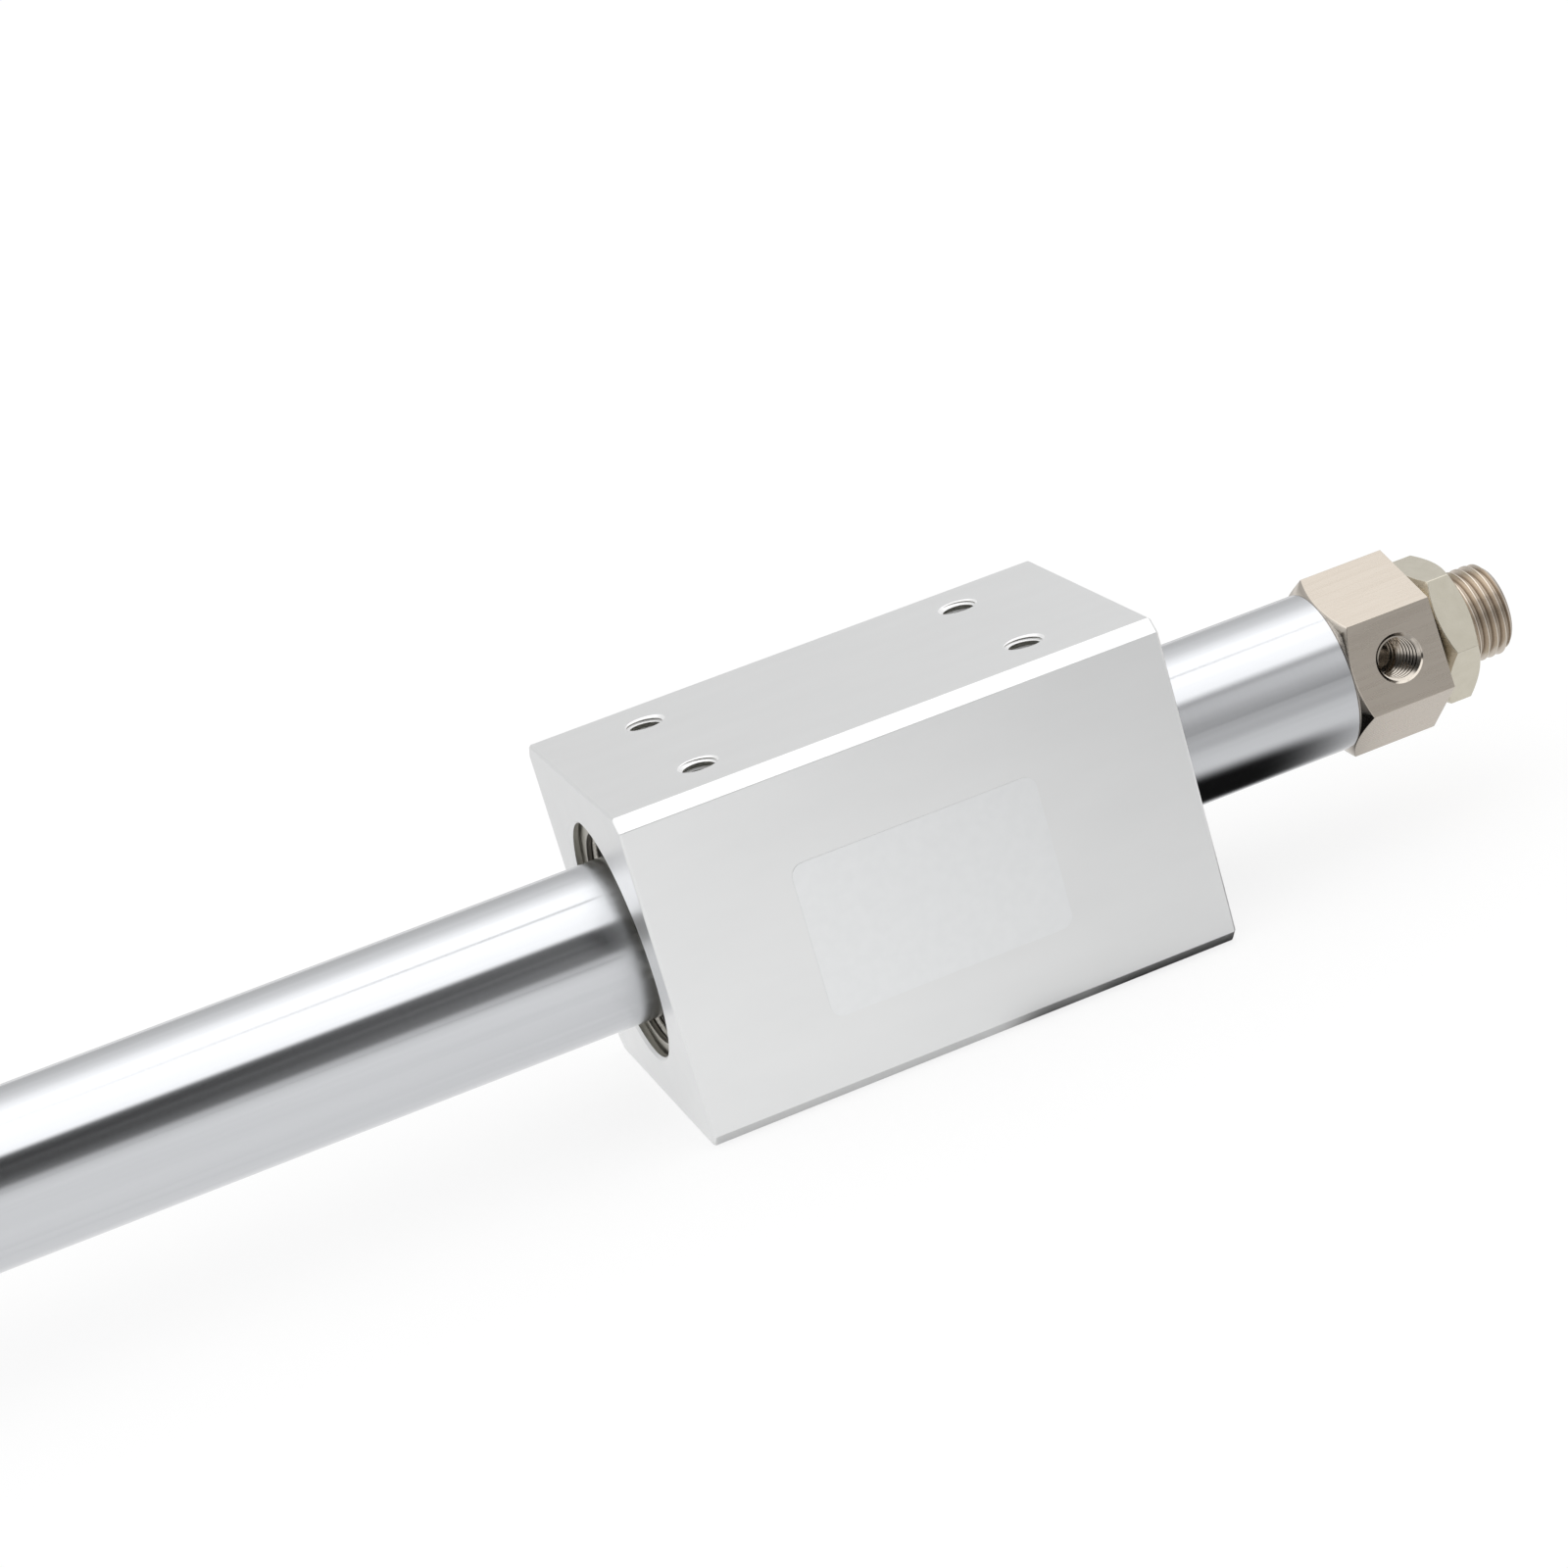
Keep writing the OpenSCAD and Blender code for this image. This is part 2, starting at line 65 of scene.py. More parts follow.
# ---- Camera ----
# A long lens stands in front of the slider block, a little above the tube. It is rolled,
# so that the tube climbs across the picture from the lower left to the upper right.
camera_place = Vector((0.03966, -0.35806, 0.12913))
camera_forward = Vector((0.21512, 0.92610, -0.30994)).normalized()
camera_up = Vector((0.34546, 0.22469, 0.91114)).normalized()
camera_angle = math.radians(22.949)

camera_data = bpy.data.cameras.new("camera")
camera_data.angle = camera_angle
camera_data.clip_start = 10 * MM
camera = bpy.data.objects.new("camera", camera_data)
camera_side = camera_forward.cross(camera_up).normalized()
camera_turn = Matrix((camera_side, camera_up, -camera_forward)).transposed()
camera.matrix_world = Matrix.Translation(camera_place) @ camera_turn.to_4x4()
bpy.context.scene.collection.objects.link(camera)
bpy.context.scene.camera = camera


# ---- Tube ----
# The barrel is a drawn tube of stainless steel, 17 mm outside and 15 mm inside, which is
# ground and polished round and round so that the slider's rings run on it. Its cut ends
# are lightly broken.
_, tube_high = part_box("cylinder_tube")
tube_r = tube_high.z
tube_bore_r = 7.5 * MM
tube_end = tube_high.x
tube_edge = 0.15 * MM

# How near points are merged, from what angle an edge is drawn sharp, and where most of a
# noise pattern lies.
merge_distance = 1e-7
crease_angle = math.radians(28)
noise_range = (0.3, 0.7)


def turned(outline, steps=192):
    """Closed mesh from an outline of (radius, x) points turned about the tube's axis."""
    bm = bmesh.new()
    points = [bm.verts.new((x, 0.0, radius)) for radius, x in outline]
    edges = [bm.edges.new(pair) for pair in zip(points, points[1:])]
    if outline[0][0] > 0:
        edges.append(bm.edges.new((points[-1], points[0])))
    bmesh.ops.spin(bm, geom=points + edges, cent=(0, 0, 0), axis=(1, 0, 0), dvec=(0, 0, 0),
                   angle=math.tau, steps=steps, use_merge=True, use_duplicate=False)
    return sealed(bm)


def sealed(bm):
    """The mesh with its doubles merged and its faces turned outwards."""
    bmesh.ops.remove_doubles(bm, verts=bm.verts, dist=merge_distance)
    bmesh.ops.dissolve_degenerate(bm, edges=bm.edges, dist=merge_distance)
    bmesh.ops.recalc_face_normals(bm, faces=bm.faces)
    return bm


def add_piece(name, bm, body, finishes, nodes=()):
    """A piece made from a finished mesh, which rides on a body and may stand for CAD nodes."""
    mesh = bpy.data.meshes.new(name)
    bm.to_mesh(mesh)
    bm.free()
    mesh.shade_smooth()
    mesh.set_sharp_from_angle(angle=crease_angle)
    for finish in finishes:
        mesh.materials.append(finish)
    piece = bpy.data.objects.new(name, mesh)
    bpy.context.scene.collection.objects.link(piece)
    flats = piece.modifiers.new("flats", "WEIGHTED_NORMAL")
    flats.keep_sharp = True
    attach(piece, body)
    if nodes:
        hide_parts(*nodes)
    return piece


def new_finish(name, colour, metallic, roughness):
    """A material with its main constants set, and the handles that a pattern needs."""
    finish = bpy.data.materials.new(name)
    finish.use_nodes = True
    nodes, links = finish.node_tree.nodes, finish.node_tree.links
    shader = nodes["Principled BSDF"]
    shader.inputs["Base Color"].default_value = (*colour, 1.0)
    shader.inputs["Metallic"].default_value = metallic
    shader.inputs["Roughness"].default_value = roughness
    return finish, nodes, links, shader


def grain(nodes, links, scale, detail=3.0):
    """Noise on the piece's own coordinates, with a scale for each axis."""
    place = nodes.new("ShaderNodeTexCoord")
    mapping = nodes.new("ShaderNodeMapping")
    mapping.inputs["Scale"].default_value = scale
    noise = nodes.new("ShaderNodeTexNoise")
    noise.inputs["Scale"].default_value = 1.0
    noise.inputs["Detail"].default_value = detail
    links.new(place.outputs["Object"], mapping.inputs["Vector"])
    links.new(mapping.outputs["Vector"], noise.inputs["Vector"])
    return noise.outputs["Fac"]


def spread(nodes, links, source, low, high, socket):
    """Lead a pattern to a socket, stretched from its middle range to low and high."""
    ranged = nodes.new("ShaderNodeMapRange")
    ranged.inputs["From Min"].default_value = noise_range[0]
    ranged.inputs["From Max"].default_value = noise_range[1]
    ranged.inputs["To Min"].default_value = low
    ranged.inputs["To Max"].default_value = high
    links.new(source, ranged.inputs["Value"])
    links.new(ranged.outputs["Result"], socket)


def tint(nodes, links, source, dark, light, socket):
    """Lead a pattern to a colour socket as a blend between two near colours."""
    blend = nodes.new("ShaderNodeValToRGB")
    stops = zip(blend.color_ramp.elements, noise_range, (dark, light))
    for stop, position, colour in stops:
        stop.position = position
        stop.color = (*colour, 1.0)
    links.new(source, blend.inputs["Fac"])
    links.new(blend.outputs["Color"], socket)


def emboss(nodes, links, shader, source, height):
    """Lead a pattern to the shader's normal as relief of the given height."""
    bump = nodes.new("ShaderNodeBump")
    bump.inputs["Strength"].default_value = 1.0
    bump.inputs["Distance"].default_value = height
    links.new(source, bump.inputs["Height"])
    links.new(bump.outputs["Normal"], shader.inputs["Normal"])


def polished_stainless():
    """Bright steel with faint draw lines, ground round and round: reflections smear along it."""
    finish, nodes, links, shader = new_finish("polished_stainless", (0.64, 0.65, 0.67), 1.0, 0.17)
    along = nodes.new("ShaderNodeCombineXYZ")
    along.inputs["X"].default_value = 1.0
    links.new(along.outputs["Vector"], shader.inputs["Tangent"])
    shader.inputs["Anisotropic"].default_value = 0.9
    rings = grain(nodes, links, (2600, 90, 90), detail=4.0)
    lines = grain(nodes, links, (9, 900, 900), detail=2.0)
    spread(nodes, links, lines, 0.15, 0.20, shader.inputs["Roughness"])
    tint(nodes, links, lines, (0.62, 0.63, 0.65), (0.66, 0.67, 0.69), shader.inputs["Base Color"])
    emboss(nodes, links, shader, rings, 0.0035 * MM)
    return finish


stainless = polished_stainless()
tube = turned([
    (tube_bore_r, -tube_end), (tube_r - tube_edge, -tube_end),
    (tube_r, -tube_end + tube_edge), (tube_r, tube_end - tube_edge),
    (tube_r - tube_edge, tube_end), (tube_bore_r, tube_end),
], steps=256)
add_piece("barrel_tube", tube, "barrel", [stainless], ["cylinder_tube"])


# ---- Slider block ----
# The block is sawn from a square bar of extruded aluminium with chamfered corners. It is
# bored for the tube and the magnets, grooved for a retaining ring at each end, drilled and
# tapped M4 in its top face, and then clear anodised to an even satin.
block_low, block_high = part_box("slider_block")
block_middle = (block_low + block_high) / 2
block_size = block_high - block_low
long_edge = 1.3 * MM
end_edge = 0.25 * MM
touch_edge = 0.07 * MM
block_bore_r = 12.49 * MM
mouth_edge = 0.3 * MM
groove_r = 13.11 * MM
groove_near = 0.78 * MM
groove_width = 1.54 * MM
hole_spacing = Vector((35 * MM, 19 * MM))
hole_r = 2.0 * MM
hole_pitch = 0.7 * MM
hole_depth = 6.5 * MM
hole_edge = 0.1 * MM
cut_over = 1.0 * MM

# Threads: their flanks' angle, their depth in pitches, and the degrees at which each of
# the four M4 threads starts.
half_thread_angle = math.radians(30)
full_thread = 0.5413
tapped_thread = 0.45
thread_starts = (235, 160, 190, 250)

# What counts as on the rim, as a sharp edge, and as a face that looks out of its hole.
rim_tolerance = 1e-6
sharp_angle = math.radians(25)
facing_out = 0.1


def threaded_rod(crest_r, pitch, length, steps=56, depth=full_thread):
    """Closed rod along X from 0 to length with a right-hand thread, so many pitches deep.

    The thread is wound past both ends, and then cut off square and closed.
    """
    root_r = crest_r - depth * pitch
    crest = pitch / 8
    flank = (crest_r - root_r) * math.tan(half_thread_angle)
    root = pitch - crest - 2 * flank
    start = -1.5 * pitch
    profile = [
        (crest_r, start), (crest_r, start + crest), (root_r, start + crest + flank),
        (root_r, start + crest + flank + root), (crest_r, start + pitch),
    ]
    turns = math.ceil(length / pitch) + 3
    bm = bmesh.new()
    points = [bm.verts.new((x, 0.0, radius)) for radius, x in profile]
    edges = [bm.edges.new(pair) for pair in zip(points, points[1:])]
    bmesh.ops.spin(bm, geom=points + edges, cent=(0, 0, 0), axis=(1, 0, 0),
                   dvec=(pitch / steps, 0, 0), angle=math.tau * turns, steps=steps * turns,
                   use_merge=False, use_duplicate=False)
    bmesh.ops.remove_doubles(bm, verts=bm.verts, dist=merge_distance)
    for place, outwards in ((0.0, -1.0), (length, 1.0)):
        bmesh.ops.bisect_plane(bm, geom=bm.verts[:] + bm.edges[:] + bm.faces[:],
                               dist=merge_distance, plane_co=(place, 0, 0),
                               plane_no=(outwards, 0, 0), clear_outer=True)
        rim = [e for e in bm.edges
               if e.is_boundary and all(abs(v.co.x - place) < rim_tolerance for v in e.verts)]
        bmesh.ops.edgeloop_fill(bm, edges=rim)
    return sealed(bm)


def shaped(blank, operation, *tools):
    """The blank after a union, difference or intersection with each tool in turn."""
    def stock(bm):
        mesh = bpy.data.meshes.new("stock")
        bm.to_mesh(mesh)
        bm.free()
        piece = bpy.data.objects.new("stock", mesh)
        bpy.context.scene.collection.objects.link(piece)
        return piece

    work = stock(blank)
    helpers = [stock(tool) for tool in tools]
    for helper in helpers:
        cut = work.modifiers.new("cut", "BOOLEAN")
        cut.operation = operation
        cut.solver = "EXACT"
        cut.object = helper
    result = bmesh.new()
    result.from_object(work, bpy.context.evaluated_depsgraph_get())
    for piece in [work, *helpers]:
        mesh = piece.data
        bpy.data.objects.remove(piece)
        bpy.data.meshes.remove(mesh)
    return sealed(result)


def bevelled(bm, edges, width, segments=1):
    """The mesh with some edges cut off, or rounded where there is more than one segment."""
    bmesh.ops.bevel(bm, geom=edges, offset=width, offset_type="OFFSET", affect="EDGES",
                    segments=segments, profile=0.5, clamp_overlap=True, material=-1)
    return bm


def soften(bm, width):
    """Round every sharp edge."""
    edges = [e for e in bm.edges if len(e.link_faces) == 2 and e.calc_face_angle() > sharp_angle]
    return bevelled(bm, edges, width, segments=2)


def placed(bm, *matrices):
    """The mesh moved by each matrix in turn."""
    for matrix in matrices:
        bmesh.ops.transform(bm, matrix=matrix, verts=bm.verts)
    return bm


def block_bar():
    """The sawn bar: a box with wide chamfers on its long edges and fine ones at its ends."""
    bm = bmesh.new()
    bmesh.ops.create_cube(bm, size=1.0, matrix=Matrix.Diagonal((*block_size, 1.0)))
    long_edges = [e for e in bm.edges if abs(e.verts[0].co.x - e.verts[1].co.x) > MM]
    bevelled(bm, long_edges, long_edge)
    end_edges = [e for e in bm.edges if abs(e.verts[0].co.x - e.verts[1].co.x) < MM]
    bevelled(bm, end_edges, end_edge)
    soften(bm, touch_edge)
    return placed(bm, Matrix.Translation(block_middle))


def block_bore():
    """What the boring bar takes out: the bore, both ring grooves and both mouth chamfers."""
    half = block_size.x / 2
    groove_end = half - groove_near
    groove_start = groove_end - groove_width
    right = [
        (block_bore_r, groove_start), (groove_r, groove_start), (groove_r, groove_end),
        (block_bore_r, groove_end), (block_bore_r, half - mouth_edge),
        (block_bore_r + mouth_edge + cut_over, half + cut_over),
    ]
    left = [(radius, -x) for radius, x in reversed(right)]
    outline = [(0, -half - cut_over)] + left + right + [(0, half + cut_over)]
    return placed(turned(outline, steps=256), Matrix.Translation((block_middle.x, 0, 0)))


def tapped_hole(x, y, start):
    """What drill, tap and countersink take out; the thread starts at that many degrees.

    The countersink's cone ends inside the thread's core, so that no two rims coincide.
    """
    down = Matrix.Rotation(math.radians(90), 4, "Y")
    place = Matrix.Translation((x, y, block_high.z))
    hole = threaded_rod(hole_r, hole_pitch, hole_depth + cut_over, depth=tapped_thread)
    begun = Matrix.Rotation(math.radians(start), 4, "X")
    placed(hole, Matrix.Translation((-cut_over, 0, 0)), begun, down, place)
    sink_r = hole_r / 2
    sink_depth = hole_r + hole_edge - sink_r
    sink = turned([
        (0, -cut_over), (hole_r + hole_edge + cut_over, -cut_over),
        (sink_r, sink_depth), (0, sink_depth),
    ], steps=56)
    return [hole, placed(sink, down, place)]


def satin_anodised():
    """Clear anodised aluminium: a very fine even grain with a little cloud in it."""
    finish, nodes, links, shader = new_finish("satin_anodised", (0.83, 0.835, 0.835), 0.74, 0.32)
    etch = grain(nodes, links, (5200, 5200, 5200), detail=2.0)
    cloud = grain(nodes, links, (70, 220, 220))
    tint(nodes, links, cloud, (0.825, 0.83, 0.83), (0.845, 0.85, 0.85),
         shader.inputs["Base Color"])
    emboss(nodes, links, shader, etch, 0.0016 * MM)
    return finish


def bore_metal_and_hole_shade():
    """The oily machined wall of the bore, with fine rings left by the boring tool. In the tapped
    holes it is painted shade on the faces that don't look out.
    """
    finish, nodes, links, shader = new_finish("bore_metal_and_hole_shade", (0.40, 0.395, 0.36), 1.0, 0.34)
    rings = grain(nodes, links, (4000, 100, 100))
    emboss(nodes, links, shader, rings, 0.004 * MM)
    return finish


def painted_lit_flanks():
    """A painted highlight: the tapped holes' cut flanks that look out of them, painted bright."""
    finish, nodes, links, shader = new_finish("painted_lit_flanks", (0.95, 0.95, 0.95), 0.35, 0.35)
    marks = grain(nodes, links, (900, 900, 4000))
    spread(nodes, links, marks, 0.30, 0.40, shader.inputs["Roughness"])
    return finish


hole_places = [(block_middle.x + x_side * hole_spacing.x / 2, y_side * hole_spacing.y / 2)
               for x_side in (-1, 1) for y_side in (-1, 1)]
block_tools = [block_bore()]
for (x, y), start in zip(hole_places, thread_starts):
    block_tools += tapped_hole(x, y, start)
block = shaped(block_bar(), "DIFFERENCE", *block_tools)
block_piece = add_piece("block_body", block, "slider",
                        [satin_anodised(), bore_metal_and_hole_shade(), painted_lit_flanks()],
                        ["slider_block"])

# The bore's wall is bare metal. In the tapped holes, the faces that look outwards are painted
# bright as a painted highlight, and the others take the bore's dark metal as painted shade.
for face in block_piece.data.polygons:
    middle = face.center
    from_end = block_size.x / 2 - abs(middle.x - block_middle.x)
    from_hole = min(math.hypot(middle.x - x, middle.y - y) for x, y in hole_places)
    in_hole = from_hole < hole_r + hole_edge and 0 < middle.z < block_high.z - merge_distance
    in_bore = math.hypot(middle.y, middle.z) < groove_r and from_end > 1.1 * mouth_edge
    if in_bore or (in_hole and face.normal.z < facing_out):
        face.material_index = 1
    elif in_hole:
        face.material_index = 2


# ---- Label film ----
# The maker's data label sits low on the front face: a thin satin film with rounded
# corners. Here it carries no print.
label_low = Vector((116.9, 0, -9.2)) * MM
label_high = Vector((142.9, 0, 7.1)) * MM
label_corner_r = 1.3 * MM
label_thickness = 0.05 * MM


def label_sheet():
    """A thin sheet with four rounded corners that lies on the block's front face."""
    middle = (label_low + label_high) / 2
    size = label_high - label_low
    bm = bmesh.new()
    bmesh.ops.create_cube(bm, size=1.0,
                          matrix=Matrix.Diagonal((size.x, 2 * label_thickness, size.z, 1.0)))
    corners = [e for e in bm.edges if abs(e.verts[0].co.y - e.verts[1].co.y) > label_thickness]
    bevelled(bm, corners, label_corner_r, segments=8)
    return placed(bm, Matrix.Translation((middle.x, block_low.y, middle.z)))


def silver_film():
    """Matt silver polyester film, a touch smoother and paler than the metal under it."""
    finish, nodes, links, shader = new_finish("silver_film", (0.85, 0.86, 0.86), 0.74, 0.30)
    weave = grain(nodes, links, (900, 900, 900))
    tint(nodes, links, weave, (0.845, 0.855, 0.86), (0.865, 0.875, 0.88),
         shader.inputs["Base Color"])
    return finish


add_piece("label_film", label_sheet(), "slider", [silver_film()])


# ---- Head covers ----
# Each end of the tube is closed by a head cover turned from hexagonal brass bar: chamfered
# where it meets the tube, tapped M5 in one flat for the air, and ending in an M10 x 1 stub
# that carries the mounting nut. It is nickel plated after machining.
hex_low, hex_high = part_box("head_cover_right")
hex_flats = 17.0 * MM
hex_end = tube_end + 10.3 * MM
hex_face_r = 8.4 * MM
hex_chamfer = math.radians(32)
facing_tube = 0.3
port_angle = math.radians(9)
port_x = hex_end - 4.9 * MM
port_r = 2.5 * MM
port_pitch = 0.8 * MM
port_floor = 2.5 * MM
port_edge = 0.12 * MM
passage_r = 1.5 * MM
stub_r = 5.0 * MM
stub_pitch = 1.0 * MM
stub_end = hex_high.x
stub_edge = 0.7 * MM
# The painted shade in the thread's roots is darkest this far in from the crests, and gone this far
# in.
root_shade_depth = 0.60 * MM
shade_fade_depth = 0.20 * MM
spigot_start = hex_low.x
both_ends = ((-1, "left"), (1, "right"))


def corner_radius(flats):
    """Radius to a hexagon's corners from its size across flats."""
    return flats / 2 / math.cos(math.radians(30))


def hexagonal_bar(flats, start, end):
    """Hexagonal bar along X with a corner straight up."""
    to_x = Matrix(((0, 0, 1, 0), (1, 0, 0, 0), (0, 1, 0, 0), (0, 0, 0, 1)))
    place = Matrix.Translation(((start + end) / 2, 0, 0))
    corner_r = corner_radius(flats)
    bm = bmesh.new()
    bmesh.ops.create_cone(bm, cap_ends=True, cap_tris=False, segments=6, radius1=corner_r,
                          radius2=corner_r, depth=end - start, matrix=place @ to_x)
    return bm


def turned_hexagon():
    """The hexagon, chamfered on the tube's side and with all its edges just broken."""
    clear_r = corner_radius(hex_flats) + cut_over
    cone_end = tube_end + (clear_r - hex_face_r) * math.tan(hex_chamfer)
    lathe = turned([
        (0, tube_end), (hex_face_r, tube_end), (clear_r, cone_end),
        (clear_r, hex_end + cut_over), (0, hex_end + cut_over),
    ])
    hexagon = shaped(hexagonal_bar(hex_flats, tube_end, hex_end), "INTERSECT", lathe)
    return soften(hexagon, touch_edge)


def stub_thread():
    """The M10 x 1 stub, which starts inside the hexagon and is chamfered at its end."""
    start = hex_end - cut_over
    thread = threaded_rod(stub_r, stub_pitch, stub_end - start + cut_over, steps=96)
    placed(thread, Matrix.Translation((start, 0, 0)))
    lathe = turned([
        (0, start - cut_over), (stub_r + cut_over, start - cut_over),
        (stub_r + cut_over, stub_end - stub_edge - cut_over), (stub_r - stub_edge, stub_end),
        (0, stub_end),
    ])
    return shaped(thread, "INTERSECT", lathe)


def air_port():
    """What is taken out for the air: the tapped hole in the front flat, and its way inwards."""
    outwards = Matrix.Rotation(math.radians(-90), 4, "Z")
    place = Matrix.Translation((port_x, 0, 0))
    flat = hex_flats / 2
    tap = threaded_rod(port_r, port_pitch, flat - port_floor + cut_over, depth=tapped_thread)
    placed(tap, Matrix.Translation((port_floor, 0, 0)), outwards, place)
    drill = turned([(0, 0), (passage_r, 0), (passage_r, flat), (0, flat)], steps=64)
    sink_floor = flat - 3 * port_edge
    sink = turned([
        (0, sink_floor), (port_r - 2 * port_edge, sink_floor),
        (port_r + port_edge + cut_over, flat + cut_over), (0, flat + cut_over),
    ], steps=96)
    bore = turned([
        (0, spigot_start - cut_over), (passage_r, spigot_start - cut_over),
        (passage_r, port_x), (0, port_x),
    ], steps=64)
    return [tap, placed(drill, outwards, place), placed(sink, outwards, place), bore]


def spigot():
    """The turned nose inside the tube, with the gasket's groove and the bumper's seat."""
    shoulder = tube_end - 6.0 * MM
    groove = (tube_end - 3.95 * MM, tube_end - 2.05 * MM)
    nose_r, spigot_r, groove_bottom_r = 3.0 * MM, 7.48 * MM, 6.28 * MM
    return turned([
        (0, spigot_start), (nose_r, spigot_start), (nose_r, shoulder), (spigot_r, shoulder),
        (spigot_r, groove[0]), (groove_bottom_r, groove[0]), (groove_bottom_r, groove[1]),
        (spigot_r, groove[1]), (spigot_r, tube_end + cut_over), (0, tube_end + cut_over),
    ])


def head_cover(side):
    """The whole cover for the right-hand end (1) or the left-hand end (-1)."""
    to_end = Matrix.Scale(side, 4, (1, 0, 0))
    thread_turn = Matrix.Rotation(0 if side > 0 else math.pi, 4, "Z")
    turn = Matrix.Rotation(-port_angle, 4, "X")
    cover = shaped(turned_hexagon(), "UNION", spigot())
    cover = shaped(cover, "DIFFERENCE", *air_port())
    cover = sealed(placed(cover, turn, to_end))
    return shaped(cover, "UNION", placed(stub_thread(), thread_turn))


def nickel_on_brass():
    """Satin nickel on the drawn flats, with the bar's draw lines showing through."""
    finish, nodes, links, shader = new_finish("nickel_on_brass", (0.59, 0.53, 0.46), 1.0, 0.27)
    lines = grain(nodes, links, (150, 2500, 2500))
    tint(nodes, links, lines, (0.58, 0.52, 0.45), (0.61, 0.55, 0.48),
         shader.inputs["Base Color"])
    spread(nodes, links, lines, 0.25, 0.31, shader.inputs["Roughness"])
    emboss(nodes, links, shader, lines, 0.0004 * MM)
    return finish


def thread_root_shade():
    """The same plating on the thread, darkened towards its roots as painted shade."""
    finish, nodes, links, shader = new_finish("thread_root_shade", (0.62, 0.55, 0.47), 1.0, 0.25)
    place = nodes.new("ShaderNodeTexCoord")
    across = nodes.new("ShaderNodeMapping")
    across.inputs["Scale"].default_value = (0.0, 1.0, 1.0)
    radius = nodes.new("ShaderNodeVectorMath")
    radius.operation = "LENGTH"
    depth = nodes.new("ShaderNodeMapRange")
    depth.inputs["From Min"].default_value = stub_r - root_shade_depth
    depth.inputs["From Max"].default_value = stub_r - shade_fade_depth
    blend = nodes.new("ShaderNodeValToRGB")
    blend.color_ramp.elements[0].color = (0.32, 0.26, 0.20, 1.0)
    blend.color_ramp.elements[1].color = (0.66, 0.59, 0.51, 1.0)
    links.new(place.outputs["Object"], across.inputs["Vector"])
    links.new(across.outputs["Vector"], radius.inputs[0])
    links.new(radius.outputs["Value"], depth.inputs["Value"])
    links.new(depth.outputs["Result"], blend.inputs["Fac"])
    links.new(blend.outputs["Color"], shader.inputs["Base Color"])
    return finish


def nickel_on_turning():
    """The plating where the bar was turned or tapped, smoother than on its drawn flats."""
    finish, nodes, links, shader = new_finish("nickel_on_turning", (0.57, 0.52, 0.46), 1.0, 0.13)
    marks = grain(nodes, links, (600, 600, 600))
    spread(nodes, links, marks, 0.11, 0.15, shader.inputs["Roughness"])
    return finish


cover_finishes = [nickel_on_brass(), thread_root_shade(), nickel_on_turning()]
port_way = Vector((0, -math.cos(port_angle), math.sin(port_angle)))

# The stub's thread gets painted shade in its roots. The port and the turned faces towards the tube
# are smooth.
for side, name in both_ends:
    cover = add_piece(f"end_cover_{name}", head_cover(side), "barrel",
                      cover_finishes, [f"head_cover_{name}"])
    for face in cover.data.polygons:
        from_port = face.center - Vector((side * port_x, 0, 0))
        along_port = from_port.dot(port_way)
        off_axis = (from_port - along_port * port_way).length
        in_port = off_axis < port_r + port_edge and 0 < along_port < hex_flats / 2 - merge_distance
        if abs(face.center.x) > hex_end + merge_distance:
            face.material_index = 1
        elif in_port or -side * face.normal.x > facing_tube:
            face.material_index = 2


# ---- Mounting nuts ----
# A thin M10 x 1 nut on each stub clamps the cylinder in a bracket. It is cold-formed steel,
# chamfered on both faces and nickel plated to a slightly yellow satin.
nut_low, nut_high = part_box("mounting_nut_right")
nut_flats = 14.0 * MM
nut_face_r = 6.65 * MM
nut_chamfer = math.radians(30)
nut_turn = math.radians(34.5)
nut_edge = 0.06 * MM
nut_mouth = 0.35 * MM
nut_clearance = 0.02 * MM


def mounting_nut(side):
    """The nut at the right-hand end (1) or the left-hand end (-1)."""
    start, end = nut_low.x, nut_high.x
    clear_r = corner_radius(nut_flats) + cut_over
    cone = (clear_r - nut_face_r) * math.tan(nut_chamfer)
    lathe = turned([
        (0, start), (nut_face_r, start), (clear_r, start + cone), (clear_r, end - cone),
        (nut_face_r, end), (0, end),
    ])
    nut = shaped(hexagonal_bar(nut_flats, start, end), "INTERSECT", lathe)
    soften(nut, nut_edge)
    bore_r = stub_r + nut_clearance
    tap = turned([
        (0, start - cut_over), (bore_r + nut_mouth + cut_over, start - cut_over),
        (bore_r, start + nut_mouth), (bore_r, end - nut_mouth),
        (bore_r + nut_mouth + cut_over, end + cut_over), (0, end + cut_over),
    ])
    nut = shaped(nut, "DIFFERENCE", tap)
    turn = Matrix.Rotation(nut_turn, 4, "X")
    to_end = Matrix.Scale(side, 4, (1, 0, 0))
    return sealed(placed(nut, turn, to_end))


def nickel_on_steel():
    """Yellower nickel over formed steel, with a soft mottle."""
    finish, nodes, links, shader = new_finish("nickel_on_steel", (0.67, 0.63, 0.53), 1.0, 0.27)
    mottle = grain(nodes, links, (700, 700, 700), detail=4.0)
    tint(nodes, links, mottle, (0.65, 0.61, 0.51), (0.69, 0.65, 0.55),
         shader.inputs["Base Color"])
    emboss(nodes, links, shader, mottle, 0.0012 * MM)
    return finish


nut_nickel = nickel_on_steel()
for side, name in both_ends:
    add_piece(f"clamp_nut_{name}", mounting_nut(side), "barrel", [nut_nickel],
              [f"mounting_nut_{name}"])


# ---- Retaining rings ----
# Snap rings of spring steel hold the parts in each end of the block. Two thin ones lie
# together in each groove. They are punched from strip, so their edges are a little rounded.
ring_edge = 0.06 * MM
flat_angle = math.radians(1)
ring_slit = 0.20 * MM
ring_slit_r = 12.4 * MM
relief_height = 0.002 * MM


